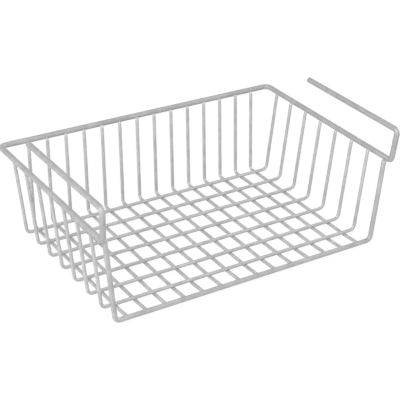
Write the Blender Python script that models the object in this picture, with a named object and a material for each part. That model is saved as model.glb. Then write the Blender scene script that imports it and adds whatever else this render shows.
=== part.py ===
"""Under-shelf basket of welded, plastic-coated steel wire.

The basket slides onto a shelf board from its front edge: two arms lie on the board and the open-fronted
basket hangs under it. It is made of 23 bent wires:
  frame_wire         one thick wire, from the left arm's free end round the rim to the right arm's free end
  front_wire         a thick U under the open front
  long_wire_1 to 7   thin U wires from wall to wall, counted from the back
  cross_wire_01 to 14  thin L wires down the back wall and forward under the long wires

Axes: +X to the basket's right, +Y to its back, +Z up. The origin is on the surface that the basket
stands on, under the middle of its box. Lengths are in metres.
"""
from math import acos, atan, cos, pi, radians, sin, sqrt, tan

import bpy
from mathutils import Vector

# Wires: steel cores and the plastic coat on them
COAT = 0.0004
FRAME_STEEL = 0.0060
FRONT_STEEL = 0.0050
MESH_STEEL = 0.0034
FRAME_RADIUS = FRAME_STEEL / 2 + COAT
FRONT_RADIUS = FRONT_STEEL / 2 + COAT
MESH_RADIUS = MESH_STEEL / 2 + COAT

# Gap kept between neighbouring wires where the real ones are welded
WELD_GAP = 0.0003

# Rim, measured between wire middles
RIM_WIDTH = 0.388
RIM_DEPTH = 0.2512
RIM_CORNER_BEND = 0.0078

# Arms and the risers that carry them above the rim
ARM_RISE = 0.0398
ARM_LENGTH = 0.1704
ARM_SPLAY = 0.0022
RISER_LEAN = 0.0019
RISER_BEND = 0.0050

# Walls: the long wires' middles lie this far below the rim's middle, and a wall wire's cut end meets
# the rim this far round its inner side, measured from straight below
WALL_HEIGHT = 0.1057
WALL_FLARE = 0.0166
WALL_LEAN_BACK = 0.0045
WALL_BEND = 0.0070
SEAT_ANGLE = radians(40)

# Long wires: the first is the front wire, and all are spread evenly between setbacks from the rim's ends
LONG_COUNT = 8
FRONT_SETBACK = 0.0021
BACK_SETBACK = 0.0324

# Cross wires: spread evenly between margins from the floor's corners, a little off the middle. Beyond the
# last thin long wire they rise a little to meet the front wire's lower back
CROSS_COUNT = 14
CROSS_MARGIN = 0.0158
CROSS_SHIFT = 0.0024
BACK_BEND = 0.0058
BACK_FOOT = 0.0174
END_RISE = 0.0014

# Facets of a wire and steps of a bend
WIRE_SIDES = 12
BEND_STEPS = 6
HALF_FACET = pi / WIRE_SIDES
FLAT_SHARE = cos(HALF_FACET)

# Heights: the cross wires' lower facets lie on the ground, and all long wires have their undersides level
CROSS_Z = MESH_RADIUS * FLAT_SHARE
LONG_Z = CROSS_Z + 2 * MESH_RADIUS * FLAT_SHARE + WELD_GAP
FRONT_Z = LONG_Z + FRONT_RADIUS - MESH_RADIUS
RIM_Z = LONG_Z + WALL_HEIGHT
ARM_Z = RIM_Z + ARM_RISE

# Places from side to side
FLOOR_WIDTH = RIM_WIDTH - 2 * WALL_FLARE
CROSS_PITCH = (FLOOR_WIDTH - 2 * CROSS_MARGIN) / (CROSS_COUNT - 1)

# Places from front to back, with the whole box centred on the origin
RIM_FRONT_Y = (RISER_LEAN - RIM_DEPTH) / 2
RIM_BACK_Y = RIM_FRONT_Y + RIM_DEPTH
FRONT_WIRE_Y = RIM_FRONT_Y + FRONT_SETBACK
REAR_LONG_Y = RIM_BACK_Y - BACK_SETBACK
LONG_PITCH = (REAR_LONG_Y - FRONT_WIRE_Y) / (LONG_COUNT - 1)
BACK_FOOT_Y = REAR_LONG_Y + BACK_FOOT
KNEE_Y = FRONT_WIRE_Y + LONG_PITCH - 2 * MESH_RADIUS

UP = Vector((0, 0, 1))

COAT_COLOUR = (0.56, 0.56, 0.56, 1.0)
COAT_ROUGHNESS = 0.42
COAT_METALLIC = 0.35


def clear_scene():
    """Remove every object that the file starts with."""
    for old in list(bpy.data.objects):
        bpy.data.objects.remove(old, do_unlink=True)


def coat_material(name):
    """A satin silver-grey plastic coat for one family of wires."""
    material = bpy.data.materials.new(name)
    material.use_nodes = True
    shader = material.node_tree.nodes["Principled BSDF"]
    shader.inputs["Base Color"].default_value = COAT_COLOUR
    shader.inputs["Roughness"].default_value = COAT_ROUGHNESS
    shader.inputs["Metallic"].default_value = COAT_METALLIC
    return material


def bend_points(before, corner, after, radius):
    """Points of the arc that rounds a corner, from the side of before to the side of after."""
    to_before = (before - corner).normalized()
    to_after = (after - corner).normalized()
    half_angle = to_before.angle(to_after) / 2
    tangent_length = radius / tan(half_angle)
    centre = corner + (to_before + to_after).normalized() * (radius / sin(half_angle))
    start = corner + to_before * tangent_length - centre
    end = corner + to_after * tangent_length - centre
    sweep = acos(start.dot(end) / radius**2)
    points = []
    for step in range(BEND_STEPS + 1):
        share = step / BEND_STEPS
        arm = start * sin((1 - share) * sweep) + end * sin(share * sweep)
        points.append(centre + arm / sin(sweep))
    return points


def bent_path(corners, bends):
    """A path through the corners, each inner one rounded to its bend radius, or left as it is at zero."""
    corners = [Vector(corner) for corner in corners]
    path = [corners[0]]
    for index, radius in enumerate(bends, start=1):
        if radius:
            path += bend_points(corners[index - 1], corners[index], corners[index + 1], radius)
        else:
            path.append(corners[index])
    path.append(corners[-1])
    return path


def wire_curve(name, path, radius, twist_mode, tilts, material):
    """A solid wire along the path, with flat ends, turned so that facets lie level."""
    curve = bpy.data.curves.new(name, "CURVE")
    curve.dimensions = "3D"
    curve.twist_mode = twist_mode
    curve.bevel_depth = radius
    curve.bevel_resolution = WIRE_SIDES // 2 - 2
    curve.use_fill_caps = True
    spline = curve.splines.new("POLY")
    spline.points.add(len(path) - 1)
    for point, place, tilt in zip(spline.points, path, tilts):
        point.co = (*place, 1.0)
        point.tilt = tilt
    spline.use_smooth = True
    curve.materials.append(material)
    return curve


def place_wire(name, curve, location, carrier, collection):
    """One wire of the basket: an object of its own on the shared curve."""
    wire = bpy.data.objects.new(name, curve)
    wire.location = location
    wire.parent = carrier
    collection.objects.link(wire)
    return wire


def seated_end(foot, rim, inward, radius):
    """Middle of a wall wire's cut end, so placed that the end's outer edge meets the rim's inner side."""
    edge = rim + (inward * sin(SEAT_ANGLE) - UP * cos(SEAT_ANGLE)) * (FRAME_RADIUS + WELD_GAP)
    along = (edge + inward * radius - foot).normalized()
    across = (inward - along * inward.dot(along)).normalized()
    return edge + across * radius


def frame_path():
    """Left arm, left riser, rim, right riser and right arm, as one bent wire."""
    rim_x = RIM_WIDTH / 2
    arm_x = rim_x + ARM_SPLAY
    riser_top_y = RIM_FRONT_Y - RISER_LEAN
    arm_end_y = riser_top_y + ARM_LENGTH
    corners = [
        (-arm_x, arm_end_y, ARM_Z),
        (-arm_x, riser_top_y, ARM_Z),
        (-rim_x, RIM_FRONT_Y, RIM_Z),
        (-rim_x, RIM_BACK_Y, RIM_Z),
        (rim_x, RIM_BACK_Y, RIM_Z),
        (rim_x, RIM_FRONT_Y, RIM_Z),
        (arm_x, riser_top_y, ARM_Z),
        (arm_x, arm_end_y, ARM_Z),
    ]
    risers = [RISER_BEND, RISER_BEND]
    return bent_path(corners, risers + [RIM_CORNER_BEND, RIM_CORNER_BEND] + risers)


def frame_tilts(path):
    """Turn the rim back by what the leaning risers turn it, so that facets lie level on rim and arms."""
    riser_turn = 2 * atan(ARM_SPLAY / ARM_RISE)
    return [HALF_FACET + riser_turn * (ARM_Z - point.z) / ARM_RISE for point in path]


def u_path(radius, floor_z):
    """A long wire: down the left wall, across the floor and up the right wall, about its floor's middle."""
    foot = Vector((FLOOR_WIDTH / 2, 0, 0))
    rim = Vector((RIM_WIDTH / 2, WALL_LEAN_BACK, RIM_Z - floor_z))
    top = seated_end(foot, rim, Vector((-1, 0, 0)), radius)
    corners = [(-top.x, top.y, top.z), (-foot.x, 0, 0), foot, top]
    return bent_path(corners, [WALL_BEND, WALL_BEND])


def l_path():
    """A cross wire: down the back wall and forward under the long wires to the front wire's lower back."""
    foot = Vector((0, BACK_FOOT_Y, 0))
    rim = Vector((0, RIM_BACK_Y, RIM_Z - CROSS_Z))
    top = seated_end(foot, rim, Vector((0, -1, 0)), MESH_RADIUS)
    below_front = FRONT_Z - CROSS_Z - END_RISE - MESH_RADIUS * FLAT_SHARE
    end_y = FRONT_WIRE_Y + sqrt((FRONT_RADIUS + WELD_GAP) ** 2 - below_front**2)
    return bent_path([top, foot, (0, KNEE_Y, 0), (0, end_y, END_RISE)], [BACK_BEND, 0])


def level_tilts(path):
    """Half a facet's turn all along, which lays a facet level where the wire runs level."""
    return [HALF_FACET] * len(path)


def build_basket():
    """Make the basket's wires in a collection of their own, all carried by one empty."""
    collection = bpy.data.collections.new("under_shelf_basket")
    bpy.context.scene.collection.children.link(collection)
    carrier = bpy.data.objects.new("basket", None)
    collection.objects.link(carrier)

    path = frame_path()
    curve = wire_curve("frame", path, FRAME_RADIUS, "MINIMUM", frame_tilts(path), coat_material("frame_coat"))
    place_wire("frame_wire", curve, (0, 0, 0), carrier, collection)

    path = u_path(FRONT_RADIUS, FRONT_Z)
    curve = wire_curve("front", path, FRONT_RADIUS, "Z_UP", level_tilts(path), coat_material("front_coat"))
    place_wire("front_wire", curve, (0, FRONT_WIRE_Y, FRONT_Z), carrier, collection)

    path = u_path(MESH_RADIUS, LONG_Z)
    curve = wire_curve("long", path, MESH_RADIUS, "Z_UP", level_tilts(path), coat_material("long_coat"))
    for index in range(LONG_COUNT - 1):
        place = (0, REAR_LONG_Y - index * LONG_PITCH, LONG_Z)
        place_wire(f"long_wire_{index + 1}", curve, place, carrier, collection)

    path = l_path()
    curve = wire_curve("cross", path, MESH_RADIUS, "Z_UP", level_tilts(path), coat_material("cross_coat"))
    for index in range(CROSS_COUNT):
        x = CROSS_SHIFT + (index - (CROSS_COUNT - 1) / 2) * CROSS_PITCH
        place_wire(f"cross_wire_{index + 1:02d}", curve, (x, 0, CROSS_Z), carrier, collection)


clear_scene()
build_basket()
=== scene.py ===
# %% [markdown]
# # Under-shelf basket of coated wire
# The real basket is 23 bent steel wires that were welded in a jig and then given a silver-grey coat. Two
# arms lie on a shelf board, and the open-fronted basket hangs under it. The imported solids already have
# every wire at its place, but as twelve-sided rods with small gaps where the welds are. This lesson puts a
# round, coated wire in the place of each rod, adds the coat's pools at the welds, and then gives the basket
# its finish, a plain pale studio and a camera.

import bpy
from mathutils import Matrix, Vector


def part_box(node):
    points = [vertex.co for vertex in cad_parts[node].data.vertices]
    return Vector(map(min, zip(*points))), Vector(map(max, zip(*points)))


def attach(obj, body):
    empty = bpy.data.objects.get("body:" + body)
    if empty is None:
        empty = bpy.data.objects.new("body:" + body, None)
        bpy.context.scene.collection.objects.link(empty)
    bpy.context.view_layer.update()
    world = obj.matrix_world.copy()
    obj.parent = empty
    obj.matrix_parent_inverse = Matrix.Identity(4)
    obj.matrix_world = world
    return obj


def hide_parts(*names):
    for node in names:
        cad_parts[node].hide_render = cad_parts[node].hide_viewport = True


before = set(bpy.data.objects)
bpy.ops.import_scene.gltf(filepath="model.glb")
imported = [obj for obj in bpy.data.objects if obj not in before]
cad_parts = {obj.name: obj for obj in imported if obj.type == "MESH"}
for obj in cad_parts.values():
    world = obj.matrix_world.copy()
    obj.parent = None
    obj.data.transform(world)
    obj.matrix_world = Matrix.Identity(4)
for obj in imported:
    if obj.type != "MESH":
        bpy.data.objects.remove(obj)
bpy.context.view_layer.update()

# %% Modules
from itertools import accumulate

import bpy
import numpy as np
from mathutils import Matrix, Vector

# %% [markdown]
# ## Sizes
# The round wires have to lie where the rods lie, so the sizes of the basket are written again here, in
# metres, and everything else follows from them as it does in the source of the solids. The thick frame wire
# is 6.8 mm across its coat, the wire under the open front 5.8 mm, and the thin ones 4.2 mm.

# %% Sizes of the wires, the rim and the arms
MILLIMETRES = 1000
CUBIC_CENTIMETRES = 1000000
FRAME_RADIUS = 0.0034
FRONT_RADIUS = 0.0029
MESH_RADIUS = 0.0021
WELD_GAP = 0.0003
RIM_WIDTH = 0.388
RIM_DEPTH = 0.2512
RIM_CORNER_BEND = 0.0078
ARM_RISE = 0.0398
ARM_LENGTH = 0.1704
ARM_SPLAY = 0.0022
RISER_LEAN = 0.0019
RISER_BEND = 0.0050

# %% Sizes of the walls and the floor
WALL_HEIGHT = 0.1057
WALL_FLARE = 0.0166
WALL_LEAN_BACK = 0.0045
WALL_BEND = 0.0070
SEAT_ANGLE = np.radians(40)
LONG_COUNT = 8
FRONT_SETBACK = 0.0021
BACK_SETBACK = 0.0324
CROSS_COUNT = 14
CROSS_MARGIN = 0.0158
CROSS_SHIFT = 0.0024
BACK_BEND = 0.0058
BACK_FOOT = 0.0174
END_RISE = 0.0014
ROD_SIDES = 12
FLAT_SHARE = np.cos(np.pi / ROD_SIDES)

# %% Heights and places that follow from them
CROSS_Z = MESH_RADIUS * FLAT_SHARE
LONG_Z = CROSS_Z + 2 * MESH_RADIUS * FLAT_SHARE + WELD_GAP
FRONT_Z = LONG_Z + FRONT_RADIUS - MESH_RADIUS
RIM_Z = LONG_Z + WALL_HEIGHT
ARM_Z = RIM_Z + ARM_RISE
FLOOR_WIDTH = RIM_WIDTH - 2 * WALL_FLARE
RIM_FRONT_Y = (RISER_LEAN - RIM_DEPTH) / 2
RIM_BACK_Y = RIM_FRONT_Y + RIM_DEPTH
FRONT_WIRE_Y = RIM_FRONT_Y + FRONT_SETBACK
REAR_LONG_Y = RIM_BACK_Y - BACK_SETBACK
LONG_PITCH = (REAR_LONG_Y - FRONT_WIRE_Y) / (LONG_COUNT - 1)
BACK_FOOT_Y = REAR_LONG_Y + BACK_FOOT
KNEE_Y = FRONT_WIRE_Y + LONG_PITCH - 2 * MESH_RADIUS
LONG_Y = REAR_LONG_Y - LONG_PITCH * np.arange(LONG_COUNT - 1)
CROSS_X = CROSS_SHIFT + np.linspace(-1, 1, CROSS_COUNT) * (FLOOR_WIDTH / 2 - CROSS_MARGIN)
cross_pitch = CROSS_X[1] - CROSS_X[0]
print("floor mesh:", round(LONG_PITCH * MILLIMETRES, 2), "by", round(cross_pitch * MILLIMETRES, 2), "mm")

# %% [markdown]
# ## The middle line of a bent wire
# A wire comes off the bending machine as straight lengths with short round bends between them. A Blender
# curve with handles could follow it, but a handle only comes near a round bend. Here each bend is a true
# arc that touches both of its straight lengths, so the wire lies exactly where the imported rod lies.

# %% A path of straight lengths and arcs
BEND_STEPS = 24


def bent_path(corners, bends):
    """Points of a wire's middle line: straight from corner to corner, with an arc for each inner corner.

    An arc of radius r touches both lines r / tan(half) from the corner, and its middle lies r / sin(half)
    from it, where half is half the angle between the lines. With t from 0 to 1, its points are
    middle + (from * sin((1 - t) * sweep) + to * sin(t * sweep)) / sin(sweep).
    """
    corners = np.array(corners, float)
    path = [corners[:1]]
    for before, corner, after, radius in zip(corners, corners[1:], corners[2:], bends):
        if not radius:
            path.append(corner[None])
            continue
        to_before = (before - corner) / np.linalg.norm(before - corner)
        to_after = (after - corner) / np.linalg.norm(after - corner)
        half = np.arccos(to_before @ to_after) / 2
        bisector = (to_before + to_after) / np.linalg.norm(to_before + to_after)
        middle = corner + bisector * radius / np.sin(half)
        start = corner + to_before * radius / np.tan(half) - middle
        end = corner + to_after * radius / np.tan(half) - middle
        sweep = np.pi - 2 * half
        t = np.linspace(0, 1, BEND_STEPS + 1)[:, None]
        path.append(middle + (start * np.sin((1 - t) * sweep) + end * np.sin(t * sweep)) / np.sin(sweep))
    path.append(corners[-1:])
    return np.concatenate(path)


# %% Places and directions along a path
def path_length(path):
    """Distance of each of the path's points from its start, measured along it."""
    return np.concatenate([[0], np.cumsum(np.linalg.norm(np.diff(path, axis=0), axis=1))])


def along_path(path, distance):
    """The points at these distances along the path, between its own points in a straight line."""
    own = path_length(path)
    return np.stack([np.interp(distance, own, path[:, axis]) for axis in range(3)], axis=-1)


def ring_distances(path, step):
    """Distances of rings along a path: its own points, with each long gap divided into equal parts."""
    own = path_length(path)
    gaps = np.diff(own)
    parts = np.ceil(gaps / step).astype(int)
    part = np.arange(parts.sum()) - np.repeat(np.cumsum(parts) - parts, parts)
    return np.append(own[:-1].repeat(parts) + gaps.repeat(parts) * part / parts.repeat(parts), own[-1])


# %% [markdown]
# ## The skin of a coated wire
# A round profile is carried along the path. It mustn't twist, or the quads turn into long slanted strips,
# so each ring takes over the directions of the ring before it and only tips by the bend between them. The
# coat isn't perfectly even: it swells and thins by a few hundredths of a millimetre, which a satin surface
# shows as a light that wavers along the wire. The cut ends were dipped with the rest, so their edges are
# round.

# %% Directions that don't twist
def carried_directions(tangents):
    """Two directions across the path at each ring. The first one starts from the axis that lies most across
    the path, and is turned from ring to ring by the least rotation that takes one tangent to the next:
    R = I + K + K K / (1 + c), where K is the cross product's matrix of both tangents and c is their dot
    product. The second direction is the tangent crossed with the first."""
    cross = np.cross(tangents[:-1], tangents[1:])
    dot = (tangents[:-1] * tangents[1:]).sum(1)
    k = np.zeros((len(cross), 3, 3))
    k[:, 0, 1], k[:, 0, 2], k[:, 1, 2] = -cross[:, 2], cross[:, 1], -cross[:, 0]
    k -= k.transpose(0, 2, 1)
    turns = np.eye(3) + k + k @ k / (1 + dot)[:, None, None]
    first = np.eye(3)[np.abs(tangents[0]).argmin()]
    first = first - tangents[0] * (first @ tangents[0])
    first = first / np.linalg.norm(first)
    carried = np.array(list(accumulate(turns, lambda done, turn: turn @ done, initial=np.eye(3)))) @ first
    return carried, np.cross(tangents, carried)


# %% The profile at a cut end
END_DEPTH = 0.0010
END_POWER = 3.2
END_STEPS = 9


def end_profile(radius):
    """Distance from the end and radius of the rings of a cut and coated end, from its middle outwards. They
    lie on a rounded square corner: (r / radius) ** n + (1 - s / depth) ** n = 1, with n the END_POWER."""
    angle = np.linspace(0, np.pi / 2, END_STEPS + 1)
    rounded_sine = np.sin(angle) ** (2 / END_POWER)
    rounded_cosine = np.clip(np.cos(angle), 0, 1) ** (2 / END_POWER)
    return END_DEPTH * (1 - rounded_cosine), radius * rounded_sine


# %% The coat's slow swells
SWELL = 0.00003
SWELL_LENGTHS = np.array([0.0093, 0.0171, 0.0326, 0.0610])
SWELL_TURNS = np.array([2, 1, 2, 1])


def coat_swell(distance, angle, seed):
    """How far the coat stands out at a distance along the wire and an angle round it: a mean of four waves,
    each sin(2 pi distance / length + turns * angle + phase), with phases drawn from the wire's own seed."""
    phases = np.random.default_rng(seed).uniform(0, 2 * np.pi, len(SWELL_LENGTHS))
    waves = 2 * np.pi * distance[:, None, None] / SWELL_LENGTHS + SWELL_TURNS * angle[:, None] + phases
    return SWELL * np.sin(waves).mean(-1)


# %% The skin as a grid of points
RING_STEP = 0.0026
END_CLEARANCE = 1.3 * END_DEPTH
TANGENT_REACH = 0.0003


def wire_skin(path, radius, sides, seed):
    """Points of a coated wire's surface. Ring i lies round the path at distance s(i), and its point j is
    middle + (radius(i) + swell(i, j)) * (first * cos(a) + second * sin(a)), with a = 2 pi j / sides. The
    first and last rings are single points, the poles of the rounded ends."""
    length = path_length(path)[-1]
    end_s, end_r = end_profile(radius)
    body = ring_distances(path, RING_STEP)
    body = body[(body > END_CLEARANCE) & (body < length - END_CLEARANCE)]
    distance = np.concatenate([end_s, body, length - end_s[::-1]])
    ring_radius = np.concatenate([end_r, np.full(len(body), radius), end_r[::-1]])
    tangents = along_path(path, distance + TANGENT_REACH) - along_path(path, distance - TANGENT_REACH)
    tangents /= np.linalg.norm(tangents, axis=1)[:, None]
    first, second = carried_directions(tangents)
    angle = np.linspace(0, 2 * np.pi, sides, endpoint=False)
    swell = coat_swell(distance, angle, seed) * (ring_radius / radius)[:, None]
    out = ring_radius[:, None] + swell
    around = first[:, None] * np.cos(angle)[:, None] + second[:, None] * np.sin(angle)[:, None]
    return along_path(path, distance)[:, None] + out[:, :, None] * around


# %% [markdown]
# ## From points to a mesh
# One helper turns any number of such grids into a closed mesh: quads between the rings and a fan of
# triangles at each pole. The sum of the little volumes between each triangle and the origin tells whether
# the faces point outwards, because it is positive only then, and it is printed as a check.

# %% A closed mesh of one or more skins
def skin_mesh(name, skins):
    """An object made of closed skins. skins[k, i, j] is point j on ring i of skin k. Its vertices are each
    skin's first pole, the inner rings and the last pole; ring i and ring i + 1 are joined by quads."""
    count, rings, sides, _ = skins.shape
    inner = skins[:, 1:-1].reshape(count, -1, 3)
    points = np.concatenate([skins[:, :1, 0], inner, skins[:, -1:, 0]], axis=1)
    here = 1 + np.arange((rings - 3) * sides).reshape(rings - 3, sides)
    beside = np.roll(here, -1, axis=1)
    quads = np.stack([here, beside, beside + sides, here + sides], axis=-1).reshape(-1, 4)
    round_start = 1 + np.arange(sides)
    round_end = round_start + (rings - 3) * sides
    start = np.stack([0 * round_start, np.roll(round_start, -1), round_start], axis=-1)
    end = np.stack([0 * round_end + points.shape[1] - 1, round_end, np.roll(round_end, -1)], axis=-1)
    shift = points.shape[1] * np.arange(count)[:, None, None]
    quads = (quads + shift).reshape(-1, 4)
    triangles = (np.concatenate([start, end]) + shift).reshape(-1, 3)
    points = points.reshape(-1, 3)
    split = np.concatenate([quads[:, [0, 1, 2]], quads[:, [0, 2, 3]], triangles])
    first, second, third = points[split[:, 0]], points[split[:, 1]], points[split[:, 2]]
    volume = (first * np.cross(second, third)).sum() / 6
    mesh = bpy.data.meshes.new(name)
    mesh.from_pydata(points.tolist(), [], quads.tolist() + triangles.tolist())
    mesh.polygons.foreach_set("use_smooth", np.ones(len(mesh.polygons), bool))
    piece = bpy.data.objects.new(name, mesh)
    bpy.context.scene.collection.objects.link(piece)
    print(name, "faces:", len(mesh.polygons), "volume:", round(volume * CUBIC_CENTIMETRES, 3), "cubic cm")
    return piece


# %% Put a wire in the place of its rod
def dress_wire(name, node, path, radius, sides, seed, coat):
    """A coated wire along the path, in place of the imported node. Prints how far their boxes differ."""
    piece = skin_mesh(name, wire_skin(path, radius, sides, seed)[None])
    piece.data.materials.append(coat)
    low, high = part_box(node)
    corners = np.array([piece.bound_box[0], piece.bound_box[6]])
    difference = np.abs(corners - [low, high]).max()
    print("  box differs from", node, "by", round(difference * MILLIMETRES, 3), "mm")
    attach(piece, "root")
    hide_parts(node)
    return piece


# %% [markdown]
# ## Shader maths in Python
# A material's numbers are easier to read as an expression than as a list of Math nodes. The class below
# holds one output socket; adding, subtracting or multiplying it puts in the Math node that does so. Every
# other kind of node comes from its one method, which sets the node's settings and then its sockets.

# %% A socket that can be calculated with
class Signal:
    """An output socket of a node tree, used like a number."""

    def __init__(self, tree, socket=None):
        self.tree, self.socket = tree, socket

    def node(self, kind, settings, sockets, output=0):
        """A new node of this kind in the same tree, as the signal of one of its outputs."""
        made = self.tree.nodes.new(kind)
        for setting, value in settings.items():
            setattr(made, setting, value)
        for socket, value in sockets.items():
            if isinstance(value, Signal):
                self.tree.links.new(value.socket, made.inputs[socket])
            else:
                made.inputs[socket].default_value = value
        return Signal(self.tree, made.outputs[output])

    def _math(self, operation, first, second):
        return self.node("ShaderNodeMath", {"operation": operation}, {0: first, 1: second})

    def __add__(self, other):
        return self._math("ADD", self, other)

    def __mul__(self, other):
        return self._math("MULTIPLY", self, other)

    def __sub__(self, other):
        return self._math("SUBTRACT", self, other)

    def __rsub__(self, other):
        return self._math("SUBTRACT", other, self)

    __radd__ = __add__
    __rmul__ = __mul__


# %% [markdown]
# ## The satin silver coat
# The coat is a grey plastic with fine metal flakes in it: a broad soft sheen, no mirror image, and tiny
# grains that differ a little. Over some millimetres it is cloudy, because it ran and set unevenly, and
# close to, it has the shallow dimples of orange peel. In the photograph the thin wires look lighter than
# the frame wire, so their greys are multiplied by a lighter tone. A picture could carry all that, but noise
# in the object's own coordinates has no seams on a wire that bends through all three directions.

# %% Finish of the coat
COAT_DARK = 0.32
COAT_LIGHT = 0.42
FRONT_TONE = 1.07
THIN_TONE = 1.23
COAT_METALLIC = 0.20
COAT_ROUGHNESS = 0.48
CLOUD_SCALE = 75.0
CLOUD_DETAIL = 3.0
CLOUD_CONTRAST = 2.0
CLOUD_ROUGHNESS = 0.2
FLAKE_SCALE = 3200.0
FLAKE_CONTRAST = 0.4
FLAKE_ROUGHNESS = 0.06
PEEL_SCALE = 450.0
PEEL_DETAIL = 1.0
PEEL_DEPTH = 0.00004
MIDDLE = 0.5
MIX_DARK, MIX_LIGHT, MIX_OUTPUT = 6, 7, 2


def grey(level):
    """A neutral colour of this lightness, with full alpha."""
    return (level, level, level, 1.0)


def satin_coat(name, offset, tone):
    """The silver coat as a material, its two greys multiplied by the tone. Its clouds begin at another
    place for each family of wires. Lightness and roughness are each a middle value, plus cloud - 0.5 times
    the clouds' share, plus flake - 0.5 times the flakes' share. A Mix node's colours have no names of their
    own, so they go by number."""
    coat = bpy.data.materials.new(name)
    coat.use_nodes = True
    tree = coat.node_tree
    shader = tree.nodes["Principled BSDF"]
    start = Signal(tree)
    place = start.node("ShaderNodeTexCoord", {}, {}, "Object")
    place = start.node("ShaderNodeMapping", {}, {"Vector": place, "Location": offset})
    clouds = {"Vector": place, "Scale": CLOUD_SCALE, "Detail": CLOUD_DETAIL}
    cloud = start.node("ShaderNodeTexNoise", {}, clouds)
    flake = start.node("ShaderNodeTexVoronoi", {}, {"Vector": place, "Scale": FLAKE_SCALE}, "Color")
    flake = start.node("ShaderNodeSeparateColor", {}, {"Color": flake})
    dimples = {"Vector": place, "Scale": PEEL_SCALE, "Detail": PEEL_DETAIL}
    peel = start.node("ShaderNodeTexNoise", {}, dimples)
    lightness = MIDDLE + (cloud - MIDDLE) * CLOUD_CONTRAST + (flake - MIDDLE) * FLAKE_CONTRAST
    greys = {"Factor": lightness, MIX_DARK: grey(COAT_DARK * tone), MIX_LIGHT: grey(COAT_LIGHT * tone)}
    colour = start.node("ShaderNodeMix", {"data_type": "RGBA"}, greys, MIX_OUTPUT)
    roughness = COAT_ROUGHNESS + (cloud - MIDDLE) * CLOUD_ROUGHNESS + (flake - MIDDLE) * FLAKE_ROUGHNESS
    bump = start.node("ShaderNodeBump", {}, {"Strength": 1.0, "Distance": PEEL_DEPTH, "Height": peel})
    shader.inputs["Metallic"].default_value = COAT_METALLIC
    tree.links.new(colour.socket, shader.inputs["Base Color"])
    tree.links.new(roughness.socket, shader.inputs["Roughness"])
    tree.links.new(bump.socket, shader.inputs["Normal"])
    return coat


# %% One coat for each family of wires
COATS = {
    "frame_satin": ((0.0, 0.0, 0.0), 1.0),
    "front_satin": ((0.7, 0.1, 0.3), FRONT_TONE),
    "long_satin": ((0.2, 0.9, 0.4), THIN_TONE),
    "cross_satin": ((0.5, 0.3, 0.8), THIN_TONE),
}
coats = [satin_coat(name, offset, tone) for name, (offset, tone) in COATS.items()]
frame_satin, front_satin, long_satin, cross_satin = coats
print("coats:", [coat.name for coat in coats])

# %% [markdown]
# ## The frame wire
# One thick wire makes both arms, both risers and three sides of the rim. It starts at the left arm's free
# end, which points to the back, and ends at the right arm's. As a single path it has six bends and no
# joint, as the real one has none that shows.

# %% The frame wire
MIRRORED = (-1, 1, 1)
FRAME_SIDES = 36
FRAME_SEED = 1
rim_x = RIM_WIDTH / 2
arm_x = rim_x + ARM_SPLAY
riser_top_y = RIM_FRONT_Y - RISER_LEAN
left_half = np.array([
    (-arm_x, riser_top_y + ARM_LENGTH, ARM_Z),
    (-arm_x, riser_top_y, ARM_Z),
    (-rim_x, RIM_FRONT_Y, RIM_Z),
    (-rim_x, RIM_BACK_Y, RIM_Z),
])
frame_corners = np.concatenate([left_half, left_half[::-1] * MIRRORED])
frame_bends = [RISER_BEND, RISER_BEND, RIM_CORNER_BEND, RIM_CORNER_BEND, RISER_BEND, RISER_BEND]
frame_line = bent_path(frame_corners, frame_bends)
dress_wire(
    "frame_wire_coated", "frame_wire", frame_line,
    FRAME_RADIUS, FRAME_SIDES, FRAME_SEED, frame_satin,
)

# %% [markdown]
# ## Where a wall wire meets the rim
# The tops of the wall wires are welded to the rim's inner underside. The cut end is square to its wire,
# which leans, so the end's outer edge is what meets the rim, at SEAT_ANGLE from straight below. The middle
# of the end follows from that edge.

# %% The middle of a seated end
def seated_end(foot, rim, inward, radius):
    """Middle of a wall wire's cut end: the edge lies FRAME_RADIUS + WELD_GAP from the rim's middle, at
    SEAT_ANGLE, and the middle lies one wire radius further inward, square to the line from the foot."""
    inward = np.array(inward, float)
    to_edge = inward * np.sin(SEAT_ANGLE) - np.array([0, 0, np.cos(SEAT_ANGLE)])
    edge = rim + to_edge * (FRAME_RADIUS + WELD_GAP)
    along = (edge + inward * radius - foot) / np.linalg.norm(edge + inward * radius - foot)
    across = inward - along * (inward @ along)
    return edge + across / np.linalg.norm(across) * radius


# %% [markdown]
# ## The U wires
# Eight wires run down one side wall, across the floor and up the other: a thick one under the open front
# and seven thin ones. They share one shape, so the path is worked out once about the middle of its floor,
# and each wire's path is that one moved to its place.

# %% The middle line of a U wire
def u_line(radius, floor_z):
    """A U wire's middle line about the middle of its floor."""
    foot = np.array([FLOOR_WIDTH / 2, 0, 0])
    rim = np.array([RIM_WIDTH / 2, WALL_LEAN_BACK, RIM_Z - floor_z])
    top = seated_end(foot, rim, (-1, 0, 0), radius)
    return bent_path([top * MIRRORED, foot * MIRRORED, foot, top], [WALL_BEND, WALL_BEND])


# %% The front wire and the seven long wires
FRONT_SIDES = 32
FRONT_SEED = 2
MESH_SIDES = 24
LONG_SEED = 10
front_line = u_line(FRONT_RADIUS, FRONT_Z) + (0, FRONT_WIRE_Y, FRONT_Z)
dress_wire(
    "front_wire_coated", "front_wire", front_line,
    FRONT_RADIUS, FRONT_SIDES, FRONT_SEED, front_satin,
)
long_lines = [u_line(MESH_RADIUS, LONG_Z) + (0, y, LONG_Z) for y in LONG_Y]
for number, line in enumerate(long_lines, start=1):
    node = f"long_wire_{number}"
    dress_wire(
        node + "_coated", node, line, MESH_RADIUS, MESH_SIDES, LONG_SEED + number, long_satin
    )

# %% [markdown]
# ## The L wires
# Fourteen thin wires run down the back wall and forward under the long wires. Each stops against the front
# wire's lower back, and rises a little over its last span to reach it.

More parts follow.
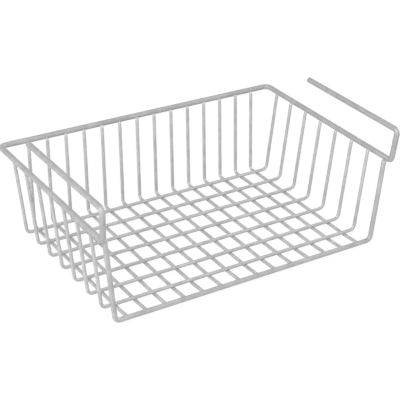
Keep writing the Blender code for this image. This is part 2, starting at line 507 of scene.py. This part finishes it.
# %% The middle line of a cross wire
def l_line():
    """A cross wire's middle line, at the middle of the basket's width, with its floor at height 0."""
    foot = np.array([0, BACK_FOOT_Y, 0])
    rim = np.array([0, RIM_BACK_Y, RIM_Z - CROSS_Z])
    top = seated_end(foot, rim, (0, -1, 0), MESH_RADIUS)
    below_front = FRONT_Z - CROSS_Z - END_RISE - MESH_RADIUS * FLAT_SHARE
    end_y = FRONT_WIRE_Y + np.sqrt((FRONT_RADIUS + WELD_GAP) ** 2 - below_front**2)
    return bent_path([top, foot, (0, KNEE_Y, 0), (0, end_y, END_RISE)], [BACK_BEND, 0])


# %% The fourteen cross wires
CROSS_SEED = 30
cross_lines = [l_line() + (x, 0, CROSS_Z) for x in CROSS_X]
for number, line in enumerate(cross_lines, start=1):
    node = f"cross_wire_{number:02d}"
    dress_wire(
        node + "_coated", node, line, MESH_RADIUS, MESH_SIDES, CROSS_SEED + number, cross_satin
    )

# %% [markdown]
# ## Coat at the crossings
# Where two wires touch, the weld and the coat that ran into the corner make a small waisted neck between
# them. Metaballs could melt the wires together, but they would need a very fine grid for a neck this small.
# Two crossed rods leave a gap that has a formula, so the neck is worked out from it.

# %% The shape of a neck between crossed wires
NECK_REACH = 0.00175
NECK_WAIST = 0.00045
NECK_SINK = 0.00006
NECK_SIDES = 12
NECK_SHARES = [0, 0.3, 0.7, 1]


def crossing_necks(places, apart, radius):
    """Closed necks between crossed wires whose middles lie apart from each other, one above the other.

    At distance d and angle a from a crossing, the lower wire's top is at
    sqrt(r^2 - (d cos a)^2) - apart / 2, and the upper wire's underside at
    apart / 2 - sqrt(r^2 - (d sin a)^2). A neck's point at share t of the way up lies between both, at
    distance reach - waist * 4 t (1 - t)."""
    share = np.array(NECK_SHARES)[:, None]
    angle = np.linspace(0, 2 * np.pi, NECK_SIDES, endpoint=False)[None]
    out = NECK_REACH - NECK_WAIST * 4 * share * (1 - share) + 0 * angle
    x, y = out * np.cos(angle), out * np.sin(angle)
    lower = np.sqrt(radius**2 - x**2) - apart / 2 - NECK_SINK
    upper = apart / 2 - np.sqrt(radius**2 - y**2) + NECK_SINK
    ring = np.stack([x, y, lower + (upper - lower) * share], axis=-1)
    pole = np.zeros((1, NECK_SIDES, 3))
    pole[..., 2] = apart / 2 - radius / 2
    neck = np.concatenate([-pole, ring, pole])
    return neck[None] + np.array(places)[:, None, None]


# %% The necks on the floor mesh
middles = [(x, y, (CROSS_Z + LONG_Z) / 2) for y in LONG_Y for x in CROSS_X]
floor_necks = skin_mesh("floor_weld_coat", crossing_necks(middles, LONG_Z - CROSS_Z, MESH_RADIUS))
floor_necks.data.materials.append(long_satin)
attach(floor_necks, "root")

# %% [markdown]
# ## Coat at the welded ends
# A wire's end that is welded to the side of another has a small saddle of weld and coat round it: thin on
# the side that touches, fuller where it runs over the cut face. Each is a sleeve that starts on the wire's
# own skin and bends over to a patch on the thicker wire.

# %% The shape of a saddle between a wire's end and the wire that carries it
SADDLE_LAP = 0.0014
SADDLE_OVER = 0.0009
SADDLE_TURN = np.radians(16)
SADDLE_SPREAD = np.radians(30)
SADDLE_WIDTH = 1.15
SADDLE_SIDES = 20
SADDLE_RINGS = 8
SADDLE_ROOT = 0.25


def weld_saddle(end, before, radius, carrier, axis, carrier_radius):
    """Closed skin of the coat at a welded end. Each line of it is a curve with three control points,
    (1 - t)^2 start + 2 t (1 - t) over + t^2 foot: start lies on the wire, over lies beyond its end, and
    foot lies on the carrier, at turn + spread * sin(a) round it and width * radius * cos(a) along it."""
    end, carrier, axis = np.array(end), np.array(carrier), np.array(axis, float)
    along = (end - before) / np.linalg.norm(end - before)
    across = np.cross(along, axis)
    across = across / np.linalg.norm(across) * np.sign(across @ (end - carrier))
    to_edge = end - across * radius - carrier
    to_edge = to_edge - axis * (to_edge @ axis)
    to_edge = to_edge / np.linalg.norm(to_edge)
    round_to = across - to_edge * (across @ to_edge)
    round_to = round_to / np.linalg.norm(round_to)
    angle = np.linspace(0, 2 * np.pi, SADDLE_SIDES, endpoint=False)[:, None]
    ring = axis * np.cos(angle) + across * np.sin(angle)
    turn = SADDLE_TURN + SADDLE_SPREAD * np.sin(angle)
    foot = carrier + axis * ((end - carrier) @ axis) + axis * SADDLE_WIDTH * radius * np.cos(angle)
    foot = foot + (carrier_radius - NECK_SINK) * (to_edge * np.cos(turn) + round_to * np.sin(turn))
    start = end - along * SADDLE_LAP + ring * (radius - NECK_SINK / 2)
    over = end + along * SADDLE_OVER + ring * radius
    t = np.linspace(0, 1, SADDLE_RINGS)[:, None, None]
    sleeve = (1 - t) ** 2 * start + 2 * t * (1 - t) * over + t**2 * foot
    in_wire = np.broadcast_to(end - along * SADDLE_LAP, (1, SADDLE_SIDES, 3))
    root = foot.mean(0) - to_edge * carrier_radius * SADDLE_ROOT
    in_carrier = np.broadcast_to(root, (1, SADDLE_SIDES, 3))
    skin = np.concatenate([in_wire, sleeve, in_carrier])
    outward = np.cross(across, axis) @ along
    return skin if outward < 0 else skin[:, ::-1]


# %% Which ends lie on the rim and on the front wire
ALONG_X = (1, 0, 0)
ALONG_Y = (0, 1, 0)


def ends_on_rim(lines, radius, axis):
    """Saddles on the part of the rim that runs along the axis: at both ends of lines that end on its sides,
    which run along y, and at the first end alone of those that end on its back, which runs along x."""
    skins = []
    for line in lines:
        ends = [(line[0], line[1]), (line[-1], line[-2])]
        for end, before in ends if axis == ALONG_Y else ends[:1]:
            on_side = (np.sign(end[0]) * rim_x, end[1], RIM_Z)
            carrier = on_side if axis == ALONG_Y else (end[0], RIM_BACK_Y, RIM_Z)
            skins.append(weld_saddle(end, before, radius, carrier, axis, FRAME_RADIUS))
    return np.array(skins)


def ends_on_front(lines):
    """Saddles at the last ends of the lines, which end on the front wire."""
    skins = []
    for line in lines:
        carrier = (line[-1][0], FRONT_WIRE_Y, FRONT_Z)
        skins.append(weld_saddle(line[-1], line[-2], MESH_RADIUS, carrier, ALONG_X, FRONT_RADIUS))
    return np.array(skins)


# %% The saddles
saddles = {
    "front_rim_weld_coat": (ends_on_rim([front_line], FRONT_RADIUS, ALONG_Y), front_satin, "front_coat"),
    "long_rim_weld_coat": (ends_on_rim(long_lines, MESH_RADIUS, ALONG_Y), long_satin, "long_coat"),
    "cross_rim_weld_coat": (ends_on_rim(cross_lines, MESH_RADIUS, ALONG_X), cross_satin, "cross_coat"),
    "cross_front_weld_coat": (ends_on_front(cross_lines), cross_satin, "cross_coat"),
}
for name, (skins, coat, slot) in saddles.items():
    saddle = skin_mesh(name, skins)
    saddle.data.materials.append(coat)
    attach(saddle, "root")

# %% [markdown]
# ## Floor
# The basket stands on a plain white floor. A sheet that only the lamps light would fade with distance and
# meet the background in an edge. To the camera, and in reflections, most of the floor's white is therefore
# its own: nearly all of it round the basket, and all of it further away. The rest is light that falls on
# it, so that it keeps the basket's soft shadow. Seen from below the floor is clear, so that the underside
# can be looked at.

# %% The floor's sheet
FLOOR_SIZE = 6.0
floor_edge = np.array([-1, 1]) * FLOOR_SIZE / 2
floor_x, floor_y = np.meshgrid(floor_edge, floor_edge)
floor_points = np.stack([floor_x, floor_y, 0 * floor_x + CROSS_Z - MESH_RADIUS], axis=-1).reshape(-1, 3)
floor_mesh = bpy.data.meshes.new("studio_floor")
floor_mesh.from_pydata(floor_points.tolist(), [], [(0, 1, 3, 2)])
floor = bpy.data.objects.new("studio_floor", floor_mesh)
bpy.context.scene.collection.objects.link(floor)
print("floor at", round(float(floor_points[0, 2]) * MILLIMETRES, 3), "mm")


# %% Which rays see the background's white
def shown_rays(start):
    """1 for the camera's rays, and for those that go on by reflection or through something clear, else 0."""
    kinds = ["Is Camera Ray", "Is Glossy Ray", "Is Transmission Ray"]
    camera, glossy, transmission = [start.node("ShaderNodeLightPath", {}, {}, kind) for kind in kinds]
    return start.node("ShaderNodeClamp", {}, {"Value": camera + glossy + transmission})


# %% The floor's white
FLOOR_NEAR_WHITE = 0.94
FLOOR_NEAR = 0.3
FLOOR_FAR = 1.0
FLOOR_SHOWN_MATT = 0.07
FLOOR_MATT = 0.9
white_floor = bpy.data.materials.new("white_floor")
white_floor.use_nodes = True
tree = white_floor.node_tree
tree.nodes.remove(tree.nodes["Principled BSDF"])
start = Signal(tree)
matt = start.node("ShaderNodeBsdfDiffuse", {}, {"Color": grey(FLOOR_MATT)})
place = start.node("ShaderNodeTexCoord", {}, {}, "Object")
distance = start.node("ShaderNodeVectorMath", {"operation": "LENGTH"}, {0: place}, "Value")
fade = {"Value": distance, "From Min": FLOOR_NEAR, "From Max": FLOOR_FAR, "To Min": FLOOR_NEAR_WHITE}
white = start.node("ShaderNodeMapRange", {"interpolation_type": "SMOOTHSTEP"}, fade)
own_white = start.node("ShaderNodeEmission", {}, {"Color": white, "Strength": 1.0})
shown_matt = start.node("ShaderNodeBsdfDiffuse", {}, {"Color": grey(FLOOR_SHOWN_MATT)})
shown = start.node("ShaderNodeAddShader", {}, {0: shown_matt, 1: own_white})
mixed = start.node("ShaderNodeMixShader", {}, {0: shown_rays(start), 1: matt, 2: shown})
below = start.node("ShaderNodeNewGeometry", {}, {}, "Backfacing")
clear = start.node("ShaderNodeBsdfTransparent", {}, {})
mixed = start.node("ShaderNodeMixShader", {}, {0: below, 1: mixed, 2: clear})
tree.links.new(mixed.socket, tree.nodes["Material Output"].inputs["Surface"])
floor_mesh.materials.append(white_floor)
print("floor's own white:", FLOOR_NEAR_WHITE, "near the basket")

# %% [markdown]
# ## Studio light
# The photograph shows the light of a white studio: no hard highlight, and wires that are lighter on the
# sides that face right, left and front than along the top. A white world gives the background, in
# reflections too, and a low even light. Three large soft lamps do the rest: one low on the right, a weak
# one low on the left and one higher at the front left. Their places and powers were fitted to the greys of
# the photograph's wires.

# %% The white world
WORLD_LEVEL = 0.35
world = bpy.data.worlds.new("white_room")
bpy.context.scene.world = world
world.use_nodes = True
background = world.node_tree.nodes["Background"]
start = Signal(world.node_tree)
seen = shown_rays(start)
level = seen + (1.0 - seen) * WORLD_LEVEL
world.node_tree.links.new(level.socket, background.inputs["Strength"])
background.inputs["Color"].default_value = grey(1.0)
print("world level:", WORLD_LEVEL, "white to the camera")

# %% The lamps: degrees round from the front, degrees above the floor, and watts
LAMP_SIZE = 2.0
LAMP_DISTANCE = 2.0
LAMPS = {
    "right_lamp": (90, 12, 38.0),
    "front_lamp": (310, 42, 36.0),
    "left_lamp": (270, 10, 14.0),
}
for name, (turn, lift, power) in LAMPS.items():
    turn, lift = np.radians([turn, lift])
    away = np.array([np.sin(turn) * np.cos(lift), -np.cos(turn) * np.cos(lift), np.sin(lift)])
    lamp_data = bpy.data.lights.new(name, "AREA")
    lamp_data.shape, lamp_data.size, lamp_data.energy = "DISK", LAMP_SIZE, power
    lamp = bpy.data.objects.new(name, lamp_data)
    bpy.context.scene.collection.objects.link(lamp)
    lamp.location = away * LAMP_DISTANCE
    lamp.rotation_mode = "QUATERNION"
    lamp.rotation_quaternion = (-Vector(away)).to_track_quat("-Z", "Y")
    print(name, "at", [round(float(value), 2) for value in lamp.location], "m")

# %% [markdown]
# ## Camera
# The camera was found from the photograph's own lines: the basket's straight wires run to three vanishing
# points, which give its angle and its lens. It looks down at the basket from its front left.

# %% The camera
CAMERA_PLACE = np.array([-0.70177, -1.04651, 0.73811])
CAMERA_TURN = np.radians(34.1436)
CAMERA_DIP = np.radians(28.6257)
CAMERA_ROLL = np.radians(2.6342)
FOCAL_PIXELS = 1192.0
PHOTO_PIXELS = 400
SENSOR = 36.0

level_ahead = np.array([np.sin(CAMERA_TURN), np.cos(CAMERA_TURN), 0])
ahead = level_ahead * np.cos(CAMERA_DIP) - np.array([0, 0, np.sin(CAMERA_DIP)])
level_right = np.array([np.cos(CAMERA_TURN), -np.sin(CAMERA_TURN), 0])
level_up = np.cross(level_right, ahead)
camera_right = np.cos(CAMERA_ROLL) * level_right + np.sin(CAMERA_ROLL) * level_up
camera_up = np.cross(camera_right, ahead)
turned = np.eye(4)
turned[:3] = np.column_stack([camera_right, camera_up, -ahead, CAMERA_PLACE])

camera_data = bpy.data.cameras.new("photo_camera")
camera_data.sensor_width = SENSOR
camera_data.lens = SENSOR * FOCAL_PIXELS / PHOTO_PIXELS
camera = bpy.data.objects.new("photo_camera", camera_data)
bpy.context.scene.collection.objects.link(camera)
camera.matrix_world = Matrix(turned.tolist())
bpy.context.scene.camera = camera
bpy.context.scene.view_settings.view_transform = "Standard"
print("lens:", round(camera_data.lens, 2), "mm")
